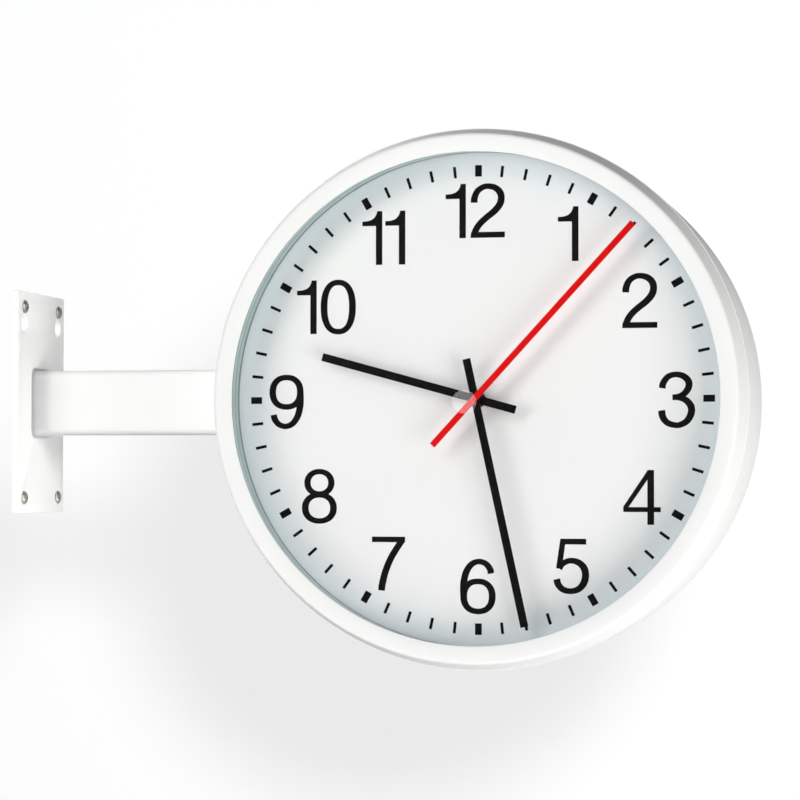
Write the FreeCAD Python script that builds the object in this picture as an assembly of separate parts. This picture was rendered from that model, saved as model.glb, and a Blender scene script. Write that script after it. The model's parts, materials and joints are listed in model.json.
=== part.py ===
# Double sided station clock on a wall bracket. Millimetres, +Z up.
# The origin is the centre of the wall plate's back face. +X runs out along the arm to the clock,
# the front dial looks along -Y and the rear dial along +Y.
import FreeCAD, Part
import os
from math import atan2, cos, pi, radians, sin

V = FreeCAD.Vector
ORIGIN = V(0, 0, 0)
SIDES = ("front", "rear")

# ---- Bracket ----
plate_width = 110.0
plate_height = 172.0
plate_t = 4.0
plate_corner_r = 2.0
screw_edge_y = 15.0
screw_edge_z = 12.0
screw_shank_r = 2.5
screw_neck_swell = 0.5
screw_neck_past_plate = 1.0
screw_hole_clear = 0.15
screw_head_r = 5.0
screw_head_h = 3.4
screw_dome_r = 7.0
screw_into_wall = 4.0
screw_slot_w = 1.3
screw_slot_depth = 1.3
screw_slot_angles = (28.0, -62.0, 75.0, 8.0)
keyhole_r = 7.0
keyhole_drop = 13.0
arm_depth = 40.0
arm_height = 50.0
arm_wall = 3.0
arm_corner_r = 5.0
arm_reach = 158.0
plug_length = 14.0

# ---- Case ----
drum_r = 200.0
drum_wall = 1.5
drum_length = 116.0
drum_edge_break = 0.4
bezel_proud = 22.0
bezel_inset = 0.5
bezel_taper = 4.8
bezel_corner_r = 3.0
bezel_section = 3.0
lip_drop = 2.0
lip_wall = 1.0
bezel_face = 19.0
skirt_depth = 10.0
skirt_wall = 1.5
slip_fit = 0.1
bezel_screw_r = 2.0
bezel_screw_length = 6.0
bezel_screw_sink = 0.2

# ---- Dial carrier, dial and glazing ----
dial_recess = 34.5
dial_t = 1.5
dial_edge_clear = 0.3
carrier_web = 2.0
carrier_flange_t = 1.5
carrier_flange_depth = 14.5
gasket_t = 1.5
gasket_inset = 2.0
gasket_width = 7.0
glass_t = 3.0
glass_edge_clear = 1.2
spacer_set_back = 2.5
spacer_wall = 1.5

# ---- Arm fixing inside the case ----
bolt_r = 4.0
bolt_hole_clear = 0.2
bolt_spacing = 24.0
bolt_head_across = 13.0
bolt_head_h = 5.3
bolt_into_plug = 12.0
clamp_t = 5.0
clamp_width = 60.0
clamp_height = 48.0

# ---- Hands: the long ones stop short of the opening; angles are degrees clockwise from twelve ----
hour_hand_reach = 120.5
hour_hand_tail = 30.8
hour_hand_w = 6.0
hour_rest_angle = 285.4
minute_hand_short = 9.8
minute_hand_tail = 30.2
minute_hand_w = 5.8
minute_rest_angle = 167.6
second_hand_short = 8.0
second_hand_tail = 46.5
second_hand_w = 4.6
second_rest_angle = 42.5
hand_t = 1.2
hand_pitch = 3.0
hour_hand_height = 11.0
hour_hub_r = 5.2
hour_hub_drop = 3.0
minute_hub_r = 3.6
second_hub_r = 2.4
hub_drop = 1.4
hub_fit = 0.02

# ---- Movement housing, measured back from the dial's rear face ----
case_half_w = 29.5
case_top = 29.5
case_bottom = 34.0
case_wall = 1.5
case_depth = 18.5
cover_t = 1.5
bay_wall_v = -15.5
bay_wall_t = 1.0
bush_r = 4.0
bush_rise = 5.5
nut_across = 11.0
nut_t = 2.5
thread_clear = 0.05
bridge_depth = 7.2
bridge_t = 1.0
bridge_half_w = 26.0
bridge_top = 27.0
bridge_post_r = 2.0
bridge_posts = ((-24.0, -11.5), (24.0, -11.5), (-23.0, 23.0), (23.0, 24.5))

# ---- Running fits and arbors ----
running_clear = 0.05
arbor_r = 0.5
second_arbor_r = 0.75
minute_tube_r = 1.75
hour_tube_r = 2.55
stud_r = 0.8
pivot_depth = 1.0
end_shake = 0.15

# ---- Teeth: a wheel and the pinion that it meets share a module ----
addendum = 0.72
dedendum = 1.0
root_share = 0.35
tip_share = 0.07
wheel_t = 1.0
pinion_t = 1.4
rotor_pinion_teeth = 6
step_wheel_teeth = 30
rotor_module = 0.5
step_pinion_teeth = 6
second_wheel_teeth = 36
step_module = 0.6
second_pinion_teeth = 6
third_wheel_teeth = 45
third_module = 0.6
third_pinion_teeth = 6
minute_wheel_teeth = 48
cannon_pinion_teeth = 8
motion_wheel_teeth = 24
cannon_module = 0.6
motion_pinion_teeth = 6
hour_wheel_teeth = 24
setting_pinion_teeth = 12

# ---- Where the arbors stand round the hands' axis, degrees anticlockwise from the right ----
third_angle = 60.0
step_angle = 150.0
rotor_angle = 165.0
motion_angle = -45.0
setting_angle = 0.0

# ---- Levels inside the movement, depths behind the dial's rear face ----
hour_wheel_depth = 3.2
cannon_depth = 4.9
minute_wheel_depth = 6.6
third_wheel_depth = 10.8
second_wheel_depth = 12.6
step_wheel_depth = 14.4
magnet_front = 14.9
magnet_r = 3.0
magnet_h = 2.7
stator_depth = 15.7
stator_t = 0.8

# ---- Motor coil, board, battery and setting knob ----
stator_hole_clear = 0.5
stator_left = 26.0
stator_right = -7.0
stator_low = 3.5
stator_high = 13.5
stator_leg_w = 2.5
stator_leg_top = 23.0
coil_r = 3.3
coil_flange_r = 3.7
coil_flange_t = 0.8
coil_v = 21.0
coil_core_w = 3.0
coil_core_t = 2.0
coil_gap = 0.3
board_left = 10.5
board_low = 3.0
board_w = 15.0
board_h = 12.0
board_t = 1.0
board_depth = 15.0
chip_r = 2.6
chip_h = 1.2
crystal_r = 1.0
crystal_length = 6.0
battery_r = 7.25
battery_length = 49.2
battery_nub_r = 2.75
battery_nub_h = 1.3
battery_v = -24.6
battery_rest = 0.3
contact_t = 0.4
contact_w = 9.0
knob_shaft_r = 1.5
knob_r = 5.0
knob_h = 3.0
knob_gap = 0.5
knob_flutes = 10
knob_flute_r = 0.7

# ---- Edges are told apart by their length to within this ----
same = 1e-6

# ---- Places that follow from the sizes above ----
face_w = drum_length / 2 + bezel_proud
axis_x = plate_t + arm_reach + drum_r
dial_w = face_w - dial_recess
movement_w = dial_w - dial_t
drum_bore_r = drum_r - drum_wall
opening_r = drum_r - bezel_face
screw_neck_r = screw_shank_r + screw_neck_swell
bezel_r = drum_r - bezel_inset
rim_r = bezel_r - bezel_taper
rim_bore_r = rim_r - bezel_section
crown_r = rim_r - bezel_corner_r
lip_w = face_w - lip_drop - lip_wall
gasket_w = lip_w - gasket_t
glass_w = gasket_w - glass_t
carrier_bore_r = drum_bore_r - carrier_web
skirt_r = drum_bore_r - slip_fit
skirt_bore_r = skirt_r - skirt_wall
glass_r = rim_bore_r - glass_edge_clear
spacer_r = opening_r + spacer_set_back
bezel_screw_w = drum_length / 2 - skirt_depth / 2


def bearing(distance, angle):
    return (distance * cos(radians(angle)), distance * sin(radians(angle)))


def centre_distance(teeth_a, teeth_b, module):
    return module * (teeth_a + teeth_b) / 2


def offset_from(place, distance, angle):
    step = bearing(distance, angle)
    return (place[0] + step[0], place[1] + step[1])


def direction(start, end):
    return atan2(end[1] - start[1], end[0] - start[0])


third_distance = centre_distance(second_pinion_teeth, third_wheel_teeth, third_module)
minute_module = 2 * third_distance / (third_pinion_teeth + minute_wheel_teeth)
motion_distance = centre_distance(cannon_pinion_teeth, motion_wheel_teeth, cannon_module)
hour_module = 2 * motion_distance / (motion_pinion_teeth + hour_wheel_teeth)
step_distance = centre_distance(step_pinion_teeth, second_wheel_teeth, step_module)
rotor_distance = centre_distance(rotor_pinion_teeth, step_wheel_teeth, rotor_module)
setting_distance = centre_distance(setting_pinion_teeth, motion_wheel_teeth, cannon_module)

HANDS_AT = (0.0, 0.0)
THIRD_AT = bearing(third_distance, third_angle)
STEP_AT = bearing(step_distance, step_angle)
ROTOR_AT = offset_from(STEP_AT, rotor_distance, rotor_angle)
MOTION_AT = bearing(motion_distance, motion_angle)
SETTING_AT = offset_from(MOTION_AT, setting_distance, setting_angle)


# ---- Shape helpers. Pieces of one face are drawn on +Z, out of that face, with z = 0 midway ----
def disc(radius, bottom, top, at=HANDS_AT):
    return Part.makeCylinder(radius, top - bottom, V(at[0], at[1], bottom))


def ring(outer_r, inner_r, bottom, top, at=HANDS_AT):
    return disc(outer_r, bottom, top, at).cut(disc(inner_r, bottom, top, at))


def block(left, right, low, high, bottom, top):
    return Part.makeBox(right - left, high - low, top - bottom, V(left, low, bottom))


def hexagon(across, bottom, top, at=HANDS_AT):
    corner_r = across / 2 / cos(pi / 6)
    points = [V(at[0] + corner_r * cos(i * pi / 3), at[1] + corner_r * sin(i * pi / 3), bottom)
              for i in range(7)]
    return Part.Face(Part.makePolygon(points)).extrude(V(0, 0, top - bottom))


def turned(edges):
    """A ring turned about +Z from the closed outline that the edges draw in the XZ plane."""
    outline = Part.Wire(Part.__sortEdges__(edges))
    return Part.Face(outline).revolve(ORIGIN, V(0, 0, 1), 360)


def outline_edges(points):
    corners = [V(r, 0, w) for r, w in points]
    return [Part.makeLine(a, b) for a, b in zip(corners, corners[1:])]


def arc(start, middle, end):
    return Part.Arc(*[V(r, 0, w) for r, w in (start, middle, end)]).toShape()


def toothed(teeth, module, bottom, thickness, at, tooth_angle):
    """A straight-flanked toothed disc with one tooth centred on the angle given in radians."""
    pitch_r = teeth * module / 2
    root_r = pitch_r - dedendum * module
    tip_r = pitch_r + addendum * module
    pitch = 2 * pi / teeth
    corners = []
    for tooth in range(teeth):
        flanks = ((root_r, -root_share), (tip_r, -tip_share), (tip_r, tip_share), (root_r, root_share))
        for radius, share in flanks:
            angle = tooth_angle + (tooth + share) * pitch
            corners.append(V(at[0] + radius * cos(angle), at[1] + radius * sin(angle), bottom))
    return Part.Face(Part.makePolygon(corners + corners[:1])).extrude(V(0, 0, thickness))


def meshing(teeth, start, end):
    """The tooth angle that puts a gap of the wheel at start on the line to the wheel at end."""
    return direction(start, end) + pi / teeth


def depth(amount):
    return movement_w - amount


def facing(shape, side):
    """Stand a piece drawn on +Z at the clock's axis so that it looks out of its own face."""
    placed = shape.copy()
    placed.rotate(ORIGIN, V(1, 0, 0), 90)
    if side == "rear":
        placed.rotate(ORIGIN, V(0, 0, 1), 180)
    placed.translate(V(axis_x, 0, 0))
    return placed


def fused(*shapes):
    whole = shapes[0]
    for shape in shapes[1:]:
        whole = whole.fuse(shape)
    return whole.removeSplitter()


# ---- Bracket ----
def wall_screw_places():
    half_y = plate_width / 2 - screw_edge_y
    half_z = plate_height / 2 - screw_edge_z
    return [(y, z) for z in (half_z, -half_z) for y in (-half_y, half_y)]


def along_x(radius, start, end, y, z):
    return Part.makeCylinder(radius, end - start, V(start, y, z), V(1, 0, 0))


def wall_plate():
    plate = Part.makeBox(plate_t, plate_width, plate_height, V(0, -plate_width / 2, -plate_height / 2))
    uprights = [edge for edge in plate.Edges if abs(edge.BoundBox.XLength - plate_t) < same]
    plate = plate.makeFillet(plate_corner_r, uprights)
    hole_r = screw_neck_r + screw_hole_clear
    for y, z in wall_screw_places():
        plate = plate.cut(along_x(hole_r, 0, plate_t, y, z))
        if z > 0:
            plate = plate.cut(along_x(keyhole_r, 0, plate_t, y, z - keyhole_drop))
            slot = Part.makeBox(plate_t, 2 * hole_r, keyhole_drop, V(0, y - hole_r, z - keyhole_drop))
            plate = plate.cut(slot)
    return plate


def wall_screws():
    screws = []
    dome_centre = plate_t + screw_head_h - screw_dome_r
    for (y, z), angle in zip(wall_screw_places(), screw_slot_angles):
        head = along_x(screw_head_r, plate_t, plate_t + screw_head_h, y, z)
        head = head.common(Part.makeSphere(screw_dome_r, V(dome_centre, y, z)))
        slot = Part.makeBox(screw_slot_depth, 2 * screw_head_r, screw_slot_w,
                            V(plate_t + screw_head_h - screw_slot_depth, -screw_head_r, -screw_slot_w / 2))
        slot.rotate(ORIGIN, V(1, 0, 0), angle)
        slot.translate(V(0, y, z))
        shank = along_x(screw_shank_r, -screw_into_wall, plate_t, y, z)
        neck = along_x(screw_neck_r, -screw_neck_past_plate, plate_t, y, z)
        screws.append(fused(head.cut(slot), neck, shank))
    return Part.makeCompound(screws)


def arm_section(inset, start, end):
    half_y = arm_depth / 2 - inset
    half_z = arm_height / 2 - inset
    bar = Part.makeBox(end - start, 2 * half_y, 2 * half_z, V(start, -half_y, -half_z))
    corners = [edge for edge in bar.Edges if abs(edge.BoundBox.XLength - (end - start)) < same]
    return bar.makeFillet(arm_corner_r - inset, corners)


def drum_solid(radius):
    return Part.makeCylinder(radius, drum_length, V(axis_x, drum_length / 2, 0), V(0, -1, 0))


def bracket_arm():
    tube = arm_section(0, plate_t, axis_x - drum_r / 2)
    tube = tube.cut(arm_section(arm_wall, plate_t, axis_x - drum_r / 2))
    return tube.cut(drum_solid(drum_r))


def bolt_heights():
    return (-bolt_spacing / 2, bolt_spacing / 2)


def arm_plug():
    plug = arm_section(arm_wall, axis_x - drum_r - plug_length, axis_x - drum_r / 2)
    plug = plug.cut(drum_solid(drum_r))
    for z in bolt_heights():
        plug = plug.cut(along_x(bolt_r, axis_x - drum_r - plug_length, axis_x - drum_r / 2, 0, z))
    return plug


def clamp_face_x():
    return axis_x - carrier_bore_r + clamp_t


def arm_clamp():
    half_z = clamp_height / 2
    corner = V(clamp_face_x() - 2 * clamp_t, -clamp_width / 2, -half_z)
    slab = Part.makeBox(2 * clamp_t, clamp_width, clamp_height, corner)
    slab = slab.common(drum_solid(carrier_bore_r))
    for z in bolt_heights():
        slab = slab.cut(along_x(bolt_r + bolt_hole_clear, axis_x - drum_r, axis_x, 0, z))
    return slab


def arm_bolts():
    bolts = []
    seat = clamp_face_x()
    tip = axis_x - drum_r - bolt_into_plug
    for z in bolt_heights():
        head = hexagon(bolt_head_across, 0, bolt_head_h)
        head.rotate(ORIGIN, V(0, 1, 0), 90)
        head.translate(V(seat, 0, z))
        bolts.append(head.fuse(along_x(bolt_r, tip, seat, 0, z)).removeSplitter())
    return Part.makeCompound(bolts)


# ---- Case ----
def bezel_screw_holes(radius, clear):
    """Radial holes at twelve and six o'clock, through the drum and both bezel skirts."""
    holes = []
    for w in (-bezel_screw_w, bezel_screw_w):
        hole = Part.makeCylinder(radius + clear, 2 * drum_r, V(0, -drum_r, w), V(0, 1, 0))
        holes.append(hole)
    return Part.makeCompound(holes)


def case_drum():
    half = drum_length / 2
    edge = drum_r - drum_edge_break
    outline = [(drum_bore_r, -half), (edge, -half), (drum_r, -half + drum_edge_break),
               (drum_r, half - drum_edge_break), (edge, half), (drum_bore_r, half), (drum_bore_r, -half)]
    drum = facing(turned(outline_edges(outline)).cut(bezel_screw_holes(bezel_screw_r, slip_fit)), "front")
    for z in bolt_heights():
        drum = drum.cut(along_x(bolt_r + bolt_hole_clear, axis_x - drum_r - drum_wall, axis_x - drum_r / 2, 0, z))
    return drum


def dial_carrier():
    """The rolled channel inside the drum: its web stiffens the drum, its flanges carry both dials."""
    outer = movement_w
    inner = movement_w - carrier_flange_t
    flange_r = drum_bore_r - carrier_flange_depth
    outline = [(drum_bore_r, -outer), (drum_bore_r, outer), (flange_r, outer), (flange_r, inner),
               (carrier_bore_r, inner), (carrier_bore_r, -inner), (flange_r, -inner), (flange_r, -outer),
               (drum_bore_r, -outer)]
    channel = facing(turned(outline_edges(outline)), "front")
    for z in bolt_heights():
        channel = channel.cut(along_x(bolt_r + bolt_hole_clear, axis_x - drum_r, axis_x - drum_r / 2, 0, z))
    return channel


def bezel():
    """A tapered ring: its lip holds the glass and its skirt slips into the drum."""
    seat = drum_length / 2
    corner_w = face_w - bezel_corner_r
    lean = atan2(bezel_taper, corner_w - seat)
    middle = (lean + pi / 2) / 2
    corner_start = (crown_r + bezel_corner_r * cos(lean), corner_w + bezel_corner_r * sin(lean))
    corner_middle = (crown_r + bezel_corner_r * cos(middle), corner_w + bezel_corner_r * sin(middle))
    swell_r = (opening_r + crown_r) / 2
    swell_w = face_w - lip_drop / 4
    edges = outline_edges([corner_start, (bezel_r, seat), (skirt_r, seat), (skirt_r, seat - skirt_depth),
                           (skirt_bore_r, seat - skirt_depth), (skirt_bore_r, seat), (rim_bore_r, lip_w),
                           (opening_r, lip_w), (opening_r, lip_w + lip_wall)])
    edges.append(arc((opening_r, lip_w + lip_wall), (swell_r, swell_w), (crown_r, face_w)))
    edges.append(arc((crown_r, face_w), corner_middle, corner_start))
    return turned(edges).cut(bezel_screw_holes(bezel_screw_r, 0))


def bezel_screws():
    screws = []
    top = drum_r - bezel_screw_sink
    for side in SIDES:
        for start, way in ((top, -1), (-top, 1)):
            screw = Part.makeCylinder(bezel_screw_r, bezel_screw_length, V(0, start, bezel_screw_w), V(0, way, 0))
            screws.append(facing(screw, side))
    return Part.makeCompound(screws)


# ---- Glazing and dial ----
def gasket():
    inner_r = opening_r + gasket_inset
    return ring(inner_r + gasket_width, inner_r, gasket_w, lip_w)


def glass():
    return disc(glass_r, glass_w, gasket_w)


def spacer_ring():
    """A rolled channel between dial and glass: the bore wall that shows inside the opening."""
    foot_r = drum_bore_r - dial_edge_clear
    web_r = spacer_r + spacer_wall
    outline = [(spacer_r, dial_w), (foot_r, dial_w), (foot_r, dial_w + spacer_wall),
               (web_r, dial_w + spacer_wall), (web_r, glass_w - spacer_wall),
               (glass_r, glass_w - spacer_wall), (glass_r, glass_w), (spacer_r, glass_w), (spacer_r, dial_w)]
    return turned(outline_edges(outline))


def dial():
    return ring(drum_bore_r - dial_edge_clear, bush_r + bolt_hole_clear, movement_w, dial_w)


# ---- Movement housing ----
def movement_case():
    """The moulded front half: threaded bush, train chamber, bridge posts and battery bay."""
    back = depth(case_depth)
    shell = block(-case_half_w, case_half_w, -case_bottom, case_top, back, movement_w)
    inner_w = case_half_w - case_wall
    chamber = block(-inner_w, inner_w, bay_wall_v, case_top - case_wall, back, depth(case_wall))
    bay = block(-inner_w, inner_w, case_wall - case_bottom, bay_wall_v - bay_wall_t, back, depth(case_wall))
    shell = shell.cut(chamber).cut(bay)
    posts = [disc(bridge_post_r, depth(bridge_depth), depth(case_wall), at) for at in bridge_posts]
    stud = disc(stud_r, depth(cannon_depth + end_shake), depth(case_wall), MOTION_AT)
    shell = fused(shell, disc(bush_r, movement_w - case_wall, movement_w + bush_rise), stud, *posts)
    shell = shell.cut(disc(hour_tube_r + running_clear, depth(case_wall), movement_w + bush_rise))
    for at, radius in ((THIRD_AT, arbor_r), (SETTING_AT, stud_r)):
        shell = shell.cut(disc(radius + running_clear, depth(case_wall), depth(case_wall - pivot_depth), at))
    return shell


def train_bridge():
    """The middle plate: the rear arbors pivot in it and the minute wheel bears on its boss."""
    back = depth(bridge_depth + bridge_t)
    front = depth(bridge_depth)
    plate = block(-bridge_half_w, bridge_half_w, bay_wall_v + bay_wall_t / 2, bridge_top, back, front)
    boss = disc(minute_tube_r + case_wall, front, depth(minute_wheel_depth + end_shake))
    plate = fused(plate, boss)
    holes = ((HANDS_AT, second_arbor_r), (STEP_AT, arbor_r), (ROTOR_AT, arbor_r), (SETTING_AT, knob_shaft_r),
             (THIRD_AT, arbor_r))
    for at, radius in holes:
        plate = plate.cut(disc(radius + running_clear, back, movement_w, at))
    return plate


def movement_cover():
    """The back cover: bearing holes for the arbors and posts for the stator and the board."""
    front = depth(case_depth)
    cover = block(-case_half_w, case_half_w, bay_wall_v - bay_wall_t, case_top, front - cover_t, front)
    stator_back = depth(stator_depth + stator_t)
    board_back = depth(board_depth + board_t)
    inset = board_t * 2
    posts = [disc(arbor_r * 3, front, stator_back, (-stator_left + inset, stator_low + inset)),
             disc(arbor_r * 3, front, stator_back, (stator_right - inset, stator_high - inset)),
             disc(arbor_r * 3, front, board_back, (board_left + inset, board_low + inset)),
             disc(arbor_r * 3, front, board_back, (board_left + board_w - inset, board_low + board_h - inset))]
    cover = fused(cover, *posts)
    blind = front - pivot_depth
    pivots = ((HANDS_AT, second_arbor_r), (STEP_AT, arbor_r), (ROTOR_AT, arbor_r), (THIRD_AT, arbor_r))
    for at, radius in pivots:
        cover = cover.cut(disc(radius + running_clear, blind, front, at))
    return cover.cut(disc(knob_shaft_r + running_clear, front - cover_t, front, SETTING_AT))


def bush_nut():
    nut = hexagon(nut_across, dial_w, dial_w + nut_t)
    return nut.cut(disc(bush_r + thread_clear, dial_w, dial_w + nut_t))


# ---- Motor, board and battery ----
def stator():
    """The laminated U: the rotor turns in its hole and the coil bridges its two legs."""
    bottom = depth(stator_depth + stator_t)
    top = depth(stator_depth)
    yoke = block(-stator_left, stator_right, stator_low, stator_high, bottom, top)
    left_leg = block(-stator_left, -stator_left + stator_leg_w, stator_high, stator_leg_top, bottom, top)
    right_leg = block(stator_right - stator_leg_w, stator_right, stator_high, stator_leg_top, bottom, top)
    plate = fused(yoke, left_leg, right_leg)
    plate = plate.cut(disc(magnet_r + stator_hole_clear, bottom, top, ROTOR_AT))
    return plate.cut(disc(arbor_r * 3, bottom, top, STEP_AT))


def coil():
    """Core bar, bobbin flanges and winding, lying across the stator's legs."""
    core_bottom = depth(stator_depth)
    core = block(-stator_left, stator_right, coil_v - coil_core_w / 2, coil_v + coil_core_w / 2,
                 core_bottom, core_bottom + coil_core_t)
    left = -stator_left + stator_leg_w + coil_gap
    right = stator_right - stator_leg_w - coil_gap
    middle = V(left, coil_v, core_bottom + coil_core_t / 2)
    winding = Part.makeCylinder(coil_r, right - left, middle, V(1, 0, 0))
    flanges = [Part.makeCylinder(coil_flange_r, coil_flange_t, V(u, middle.y, middle.z), V(1, 0, 0))
               for u in (left, right - coil_flange_t)]
    return fused(core, winding, *flanges)


def circuit_board():
    """The board with its sealed chip and the quartz crystal's can."""
    bottom = depth(board_depth + board_t)
    top = depth(board_depth)
    board = block(board_left, board_left + board_w, board_low, board_low + board_h, bottom, top)
    chip = disc(chip_r, top, top + chip_h, (board_left + board_w / 3, board_low + board_h / 2))
    can_start = V(board_left + board_w - 2 * chip_r, board_low + chip_h, top + crystal_r)
    can = Part.makeCylinder(crystal_r, crystal_length, can_start, V(0, 1, 0))
    pad = block(can_start.x - crystal_r, can_start.x + crystal_r, can_start.y, can_start.y + crystal_length,
                top, top + crystal_r)
    return fused(board, chip, can, pad)


def battery():
    """One AA cell, lying along the bottom of the housing."""
    axis_w = depth(case_wall + battery_rest + battery_r)
    left = -(battery_length + battery_nub_h) / 2
    cell = Part.makeCylinder(battery_r, battery_length, V(left, battery_v, axis_w), V(1, 0, 0))
    nub = Part.makeCylinder(battery_nub_r, battery_nub_h, V(left + battery_length, battery_v, axis_w), V(1, 0, 0))
    return fused(cell, nub)


def battery_contacts():
    """Two folded leaf springs, one at each end of the bay, pressed on the cell."""
    axis_w = depth(case_wall + battery_rest + battery_r)
    wall = case_half_w - case_wall
    touch = (battery_length + battery_nub_h) / 2
    low = battery_v - contact_w / 2
    high = battery_v + contact_w / 2
    leaves = []
    for way in (-1, 1):
        spans = ((wall - contact_t, wall, axis_w - contact_w / 2, axis_w + contact_w / 2),
                 (touch, touch + contact_t, axis_w - contact_w / 2, axis_w + contact_w / 2),
                 (touch, wall, axis_w - contact_w / 2 - contact_t, axis_w - contact_w / 2))
        pieces = [block(min(way * a, way * b), max(way * a, way * b), low, high, c, d) for a, b, c, d in spans]
        leaves.append(fused(*pieces))
    return Part.makeCompound(leaves)


# ---- Going train and motion work ----
def arbor(front_depth, at, radius=arbor_r):
    return disc(radius, depth(case_depth + pivot_depth - end_shake), depth(front_depth), at)


def rotor():
    pinion_back = depth(magnet_front)
    phase = meshing(rotor_pinion_teeth, ROTOR_AT, STEP_AT)
    return fused(arbor(bridge_depth + end_shake, ROTOR_AT),
                 disc(magnet_r, depth(magnet_front + magnet_h), depth(magnet_front), ROTOR_AT),
                 toothed(rotor_pinion_teeth, rotor_module, pinion_back, pinion_t + wheel_t / 2, ROTOR_AT, phase))


def step_wheel():
    pinion_bottom = depth(step_wheel_depth - wheel_t)
    pinion_phase = meshing(step_pinion_teeth, STEP_AT, HANDS_AT)
    return fused(arbor(bridge_depth + end_shake, STEP_AT),
                 toothed(step_wheel_teeth, rotor_module, depth(step_wheel_depth), wheel_t, STEP_AT,
                         direction(STEP_AT, ROTOR_AT)),
                 toothed(step_pinion_teeth, step_module, pinion_bottom, pinion_t + wheel_t / 2, STEP_AT,
                         pinion_phase))


def second_wheel():
    top = dial_w + hour_hand_height + 2 * hand_pitch + hand_t
    long_arbor = disc(second_arbor_r, depth(case_depth + pivot_depth - end_shake), top)
    pinion_phase = meshing(second_pinion_teeth, HANDS_AT, THIRD_AT)
    return fused(long_arbor,
                 toothed(second_wheel_teeth, step_module, depth(second_wheel_depth), wheel_t, HANDS_AT,
                         direction(HANDS_AT, STEP_AT)),
                 toothed(second_pinion_teeth, third_module, depth(second_wheel_depth - wheel_t), 2 * wheel_t,
                         HANDS_AT, pinion_phase))


def third_wheel():
    pinion_phase = meshing(third_pinion_teeth, THIRD_AT, HANDS_AT)
    pinion_bottom = depth(minute_wheel_depth + end_shake)
    return fused(arbor(case_wall - pivot_depth + end_shake, THIRD_AT),
                 toothed(third_wheel_teeth, third_module, depth(third_wheel_depth), wheel_t, THIRD_AT,
                         direction(THIRD_AT, HANDS_AT)),
                 toothed(third_pinion_teeth, minute_module, pinion_bottom, pinion_t, THIRD_AT, pinion_phase))


def minute_wheel():
    """The wheel, the cannon pinion and the tube that carries the minute hand, all in one."""
    top = dial_w + hour_hand_height + hand_pitch + hand_t
    bottom = depth(minute_wheel_depth)
    pinion_bottom = bottom + wheel_t
    cannon_top = depth(hour_wheel_depth + 2 * end_shake)
    cannon_phase = meshing(cannon_pinion_teeth, HANDS_AT, MOTION_AT)
    whole = fused(disc(minute_tube_r, bottom, top),
                  toothed(minute_wheel_teeth, minute_module, bottom, wheel_t, HANDS_AT,
                          direction(HANDS_AT, THIRD_AT)),
                  toothed(cannon_pinion_teeth, cannon_module, pinion_bottom, cannon_top - pinion_bottom,
                          HANDS_AT, cannon_phase))
    return whole.cut(disc(second_arbor_r + running_clear, bottom, top))


def motion_wheel():
    """Runs loose on the housing's stud, between the cannon pinion and the hour wheel."""
    bottom = depth(cannon_depth)
    pinion_bottom = bottom + wheel_t
    pinion_top = depth(case_wall + end_shake)
    pinion_phase = meshing(motion_pinion_teeth, MOTION_AT, HANDS_AT)
    whole = fused(toothed(motion_wheel_teeth, cannon_module, bottom, wheel_t, MOTION_AT,
                          direction(MOTION_AT, HANDS_AT)),
                  toothed(motion_pinion_teeth, hour_module, pinion_bottom, pinion_top - pinion_bottom,
                          MOTION_AT, pinion_phase))
    return whole.cut(disc(stud_r + running_clear, bottom, pinion_top, MOTION_AT))


def hour_wheel():
    top = dial_w + hour_hand_height + hand_t
    bottom = depth(hour_wheel_depth)
    whole = fused(disc(hour_tube_r, bottom, top),
                  toothed(hour_wheel_teeth, hour_module, bottom, wheel_t, HANDS_AT,
                          direction(HANDS_AT, MOTION_AT)))
    return whole.cut(disc(minute_tube_r + running_clear, bottom, top))


def setting_knob():
    """The fluted knob behind the cover and its pinion, which turns the motion wheel."""
    head_top = depth(case_depth + cover_t + knob_gap)
    head_bottom = head_top - knob_h
    head = disc(knob_r, head_bottom, head_top, SETTING_AT)
    for flute in range(knob_flutes):
        at = offset_from(SETTING_AT, knob_r, 360.0 * flute / knob_flutes)
        head = head.cut(disc(knob_flute_r, head_bottom, head_top, at))
    phase = direction(SETTING_AT, MOTION_AT) + pi / setting_pinion_teeth
    motion_turn = direction(MOTION_AT, SETTING_AT) - direction(MOTION_AT, HANDS_AT)
    phase += motion_turn * motion_wheel_teeth / setting_pinion_teeth
    pinion_bottom = depth(cannon_depth)
    return fused(head, disc(knob_shaft_r, head_top, pinion_bottom, SETTING_AT),
                 toothed(setting_pinion_teeth, cannon_module, pinion_bottom, wheel_t, SETTING_AT, phase),
                 disc(stud_r, pinion_bottom, depth(case_wall - pivot_depth + end_shake), SETTING_AT))


# ---- Hands ----
def hand(width, reach, tail, level, hub_r, drop, bore_r, rest_angle):
    """A straight square-ended bar on a round hub, turned clockwise from twelve to its rest angle."""
    bottom = dial_w + hour_hand_height + level * hand_pitch
    bar = block(-width / 2, width / 2, -tail, reach, bottom, bottom + hand_t)
    whole = fused(bar, disc(hub_r, bottom - drop, bottom))
    whole = whole.cut(disc(bore_r + hub_fit, bottom - drop, bottom + hand_t))
    whole.rotate(ORIGIN, V(0, 0, 1), -rest_angle)
    return whole


def hour_hand():
    return hand(hour_hand_w, hour_hand_reach, hour_hand_tail, 0, hour_hub_r, hour_hub_drop, hour_tube_r,
                hour_rest_angle)


def minute_hand():
    reach = opening_r - minute_hand_short
    return hand(minute_hand_w, reach, minute_hand_tail, 1, minute_hub_r, hub_drop, minute_tube_r,
                minute_rest_angle)


def second_hand():
    reach = opening_r - second_hand_short
    return hand(second_hand_w, reach, second_hand_tail, 2, second_hub_r, hub_drop, second_arbor_r,
                second_rest_angle)


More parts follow.
